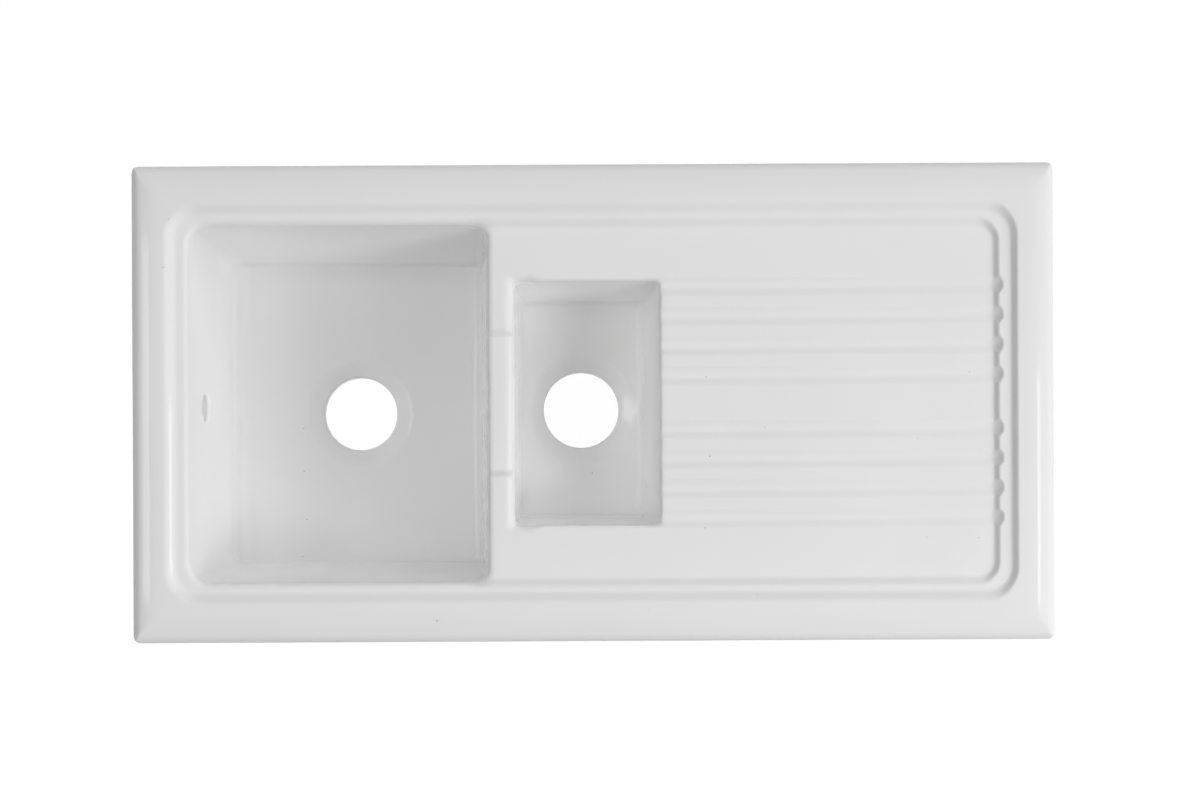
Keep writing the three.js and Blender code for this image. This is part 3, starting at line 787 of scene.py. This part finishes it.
def armPattern():
    # pressed strip with a stiffening bead, a bent-up tip and teeth along the tip's edge
    low, high = heights("clamp_arm")
    bendX, bendZ = arm["reach"] - arm["thick"] / 2 - arm["bend"], low + arm["thick"] / 2 + arm["bend"]
    start, end = arm["beadEnds"]

    def field(x, y, z):
        wide = arm["half"] + (arm["tipHalf"] - arm["half"]) * np.clip(x / arm["reach"], 0, 1)
        plan = np.where(x < 0, np.hypot(x, y) - arm["half"], np.abs(y) - wide)
        bead = smooth((x - start) / arm["beadRun"]) * smooth((end - x) / arm["beadRun"])
        bead = bead * smooth(1.5 - np.abs(y) / arm["beadHalf"])
        across, up = x - bendX, z - arm["bead"] * bead - bendZ
        flat, upright = np.abs(up + arm["bend"]), np.abs(across - arm["bend"])
        turn = np.abs(np.hypot(across, up) - arm["bend"])
        inner = np.where(up < 0, flat, np.minimum(flat, upright))
        middle = np.where(across < 0, inner, np.where(up < 0, turn, upright))
        sheet = middle - arm["thick"] / 2
        tooth = arm["bite"] * np.abs((y / arm["pitch"]) % 1 - 0.5) * 2
        sheet = softMax(sheet, z - high + tooth, arm["edge"])
        body = softMax(plan, sheet, arm["edge"])
        return softMax(body, arm["hole"] - np.hypot(x, y), arm["holeEdge"])
    ends = [(-arm["half"], 0.004), (0.042, arm["reach"])]
    lines = (gridLines(-arm["half"], arm["reach"], 0.0007, 0.0014, ends),
             gridLines(-arm["half"], arm["half"], 0.0006, 0.0006, [(0, 0)]),
             gridLines(low, high, 0.0005, 0.0008, [(low, low + 0.003), (high - 0.002, high)]))
    return fieldSkin("arm_pattern", field, lines, arm["most"])[0]


def setDown(pattern, name, place):
    # a copy of the pattern, turned the way its arm points and moved to its screw axis
    made = bpy.data.objects.new(name, pattern.data.copy())
    made.data.transform(Matrix.Translation(fixings[place]) @ Matrix.Rotation(turns[place], 4, "Z"))
    bpy.context.scene.collection.objects.link(made)
    return made


def makeFixings():
    nylon, zinc = nylonFinish(), zincFinish()
    patterns = {"anchor_plug": (plugPattern(), "sink", nylon, "nylon"),
                "fixing_screw": (screwPattern(), "screw_", zinc, "zinc"),
                "clip_washer": (washerPattern(), "washer_", zinc, "zinc"),
                "clamp_arm": (armPattern(), "arm_", zinc, "zinc")}
    for kind, (pattern, body, finish, slot) in patterns.items():
        pattern.data.materials.append(finish)
        for place in fixings:
            piece = setDown(pattern, f"{kind}_detail_{place}", place)
            handOver(piece, body if body == "sink" else body + place, f"{kind}_{place}", slot)
        bpy.data.objects.remove(pattern)


makeFixings()
print("fixings made", len(fixings))

seal = {"soft": 0.0007, "creep": 0.0004, "step": 0.006}


def makeSeal(node, finish):
    # a bar with soft edges that has crept in a little unevenly along its sides
    low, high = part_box(node)
    size = high - low
    long = 0 if size.x > size.y else 1
    wide = 1 - long
    section = rounded([(0, 0), (size[wide], 0), (size[wide], size.z), (0, size.z)], seal["soft"], 3)[:-1]
    run = np.linspace(0, size[long], int(size[long] / seal["step"]) + 1)
    points = np.zeros((len(run), len(section), 3))
    for i, (across, up) in enumerate(section):
        left = across < size[wide] / 2
        wave = seal["creep"] * (1 + np.sin(run * 71 + left * 2) * np.sin(run * 23 + up * 300)) / 2
        points[:, i, long] = low[long] + run
        points[:, i, wide] = low[wide] + across + (wave if left else -wave)
        points[:, i, 2] = low.z + up
    piece = addMesh(node + "_foam", points.reshape(-1, 3), ringFaces(len(run), len(section)))
    tidyFaces(piece, 40)
    piece.data.materials.append(finish)
    handOver(piece, "sink", node, "foam")


foam = foamFinish()
for side in ("front", "back", "left", "right"):
    makeSeal("rim_seal_" + side, foam)
print("seals made")

# floor, light and surroundings

studio = {"floorSize": 12, "gap": 0.0005, "floorTone": 0.35, "seenWhite": 0.8, "seenGlow": 1.22,
          "lightHalf": 10, "lightSoft": 0.06}
softLights = {"right": (0, 30, 0.85), "right_back": (45, 30, 1.65), "right_front": (-45, 30, 1.12),
              "front": (-90, 30, 0.18), "low_front": (-45, 10, 0.24), "left": (180, 50, 1.2),
              "left_front": (-135, 50, 0.45), "high_right": (0, 50, 0.7),
              "back": (90, 50, 0.8)}  # azimuth, elevation and strength
lamps = {"lamp_right": {"azimuth": -25, "elevation": 41, "distance": 2.2, "size": (0.3, 0.8), "power": 10.0,
                        "mirrored": False},
         "line_right": {"azimuth": -4, "elevation": 43, "distance": 2.2, "size": (0.55, 0.2), "power": 1.1},
         "line_left": {"azimuth": 177, "elevation": 44, "distance": 2.2, "size": (0.9, 0.4), "power": 2.8},
         "lamp_above": {"azimuth": 0, "elevation": 90, "distance": 2.4, "size": (2.2, 1.6), "power": 2.1}}


def shownWhite(tree):
    # 1 for what the camera sees, straight or in a reflection, and 0 for light that falls on things
    path = tree.nodes.new("ShaderNodeLightPath")
    seen = Wire(tree, path.outputs["Is Camera Ray"])
    for ray in ("Is Glossy Ray", "Is Transmission Ray"):
        seen = seen.maths("MAXIMUM", seen, Wire(tree, path.outputs[ray]))
    return seen


def makeFloor():
    half = studio["floorSize"] / 2
    low = cadBox[0].z - studio["gap"]
    corners = np.array([(-half, -half, low), (half, -half, low), (half, half, low), (-half, half, low)])
    floor = addMesh("studio_floor", corners, np.array([[0, 1, 2, 3]]), False)
    made, wire, shader = material("studio_white", 0.9)
    feed(shader, "Base Color", (studio["floorTone"],) * 3 + (1,))
    glow = wire.node("Emission", {}, {"Color": (1, 1, 1, 1), "Strength": studio["seenGlow"]})
    lit = Wire(made.node_tree, shader.outputs[0])
    both = wire.node("MixShader", {}, {0: shownWhite(made.node_tree) * studio["seenWhite"], 1: lit, 2: glow})
    output = made.node_tree.nodes["Material Output"]
    made.node_tree.links.new(both.socket, output.inputs["Surface"])
    floor.data.materials.append(made)


def toward(azimuth, elevation, distance=1.0):
    turn, rise = math.radians(azimuth), math.radians(elevation)
    flat = Vector((math.cos(turn), math.sin(turn), 0)) * math.cos(rise)
    return (flat + Vector((0, 0, math.sin(rise)))) * distance


def makeLamp(name, lamp):
    data = bpy.data.lights.new(name, "AREA")
    data.shape = "RECTANGLE"
    data.size, data.size_y = lamp["size"]
    data.energy = lamp["power"]
    made = bpy.data.objects.new(name, data)
    made.location = toward(lamp["azimuth"], lamp["elevation"], lamp["distance"])
    made.rotation_euler = made.location.to_track_quat("Z", "Y").to_euler()
    made.visible_glossy = lamp.get("mirrored", True)
    bpy.context.scene.collection.objects.link(made)


def makeSurroundings():
    # broad soft lights: each is a patch of sky round one azimuth and elevation
    world = bpy.data.worlds.new("studio")
    bpy.context.scene.world = world
    world.use_nodes = True
    tree = world.node_tree
    wire = Wire(tree)
    way = wire.node("TexCoord", out="Generated")
    across, deep, up = (wire.node("SeparateXYZ", {}, {0: way}, out=n) for n in range(3))
    level = wire.maths("SQRT", across * across + deep * deep + 0.0001)
    glow = 0
    for azimuth, elevation, strength in softLights.values():
        turn = math.radians(azimuth)
        facing = wire.maths("DIVIDE", across * math.cos(turn) + deep * math.sin(turn), level)
        foot, head = (math.sin(math.radians(elevation + side * studio["lightHalf"])) for side in (-1, 1))
        soft = studio["lightSoft"]
        patch = up.between(foot - soft, foot + soft) * up.between(head - soft, head + soft, 1.0, 0.0)
        glow = glow + patch * facing.between(0.5, 1.0) * strength
    seen = shownWhite(tree)
    background = tree.nodes["Background"]
    background.inputs["Color"].default_value = (1, 1, 1, 1)
    tree.links.new((seen + (1 - seen) * glow).socket, background.inputs["Strength"])


makeFloor()
makeSurroundings()
for name, lamp in lamps.items():
    makeLamp(name, lamp)
bpy.context.scene.view_settings.view_transform = "Standard"
bpy.context.scene.cycles.diffuse_bounces = 12  # white glaze in a deep bowl passes light on many times
bpy.context.scene.cycles.max_bounces = 16
print("studio made")
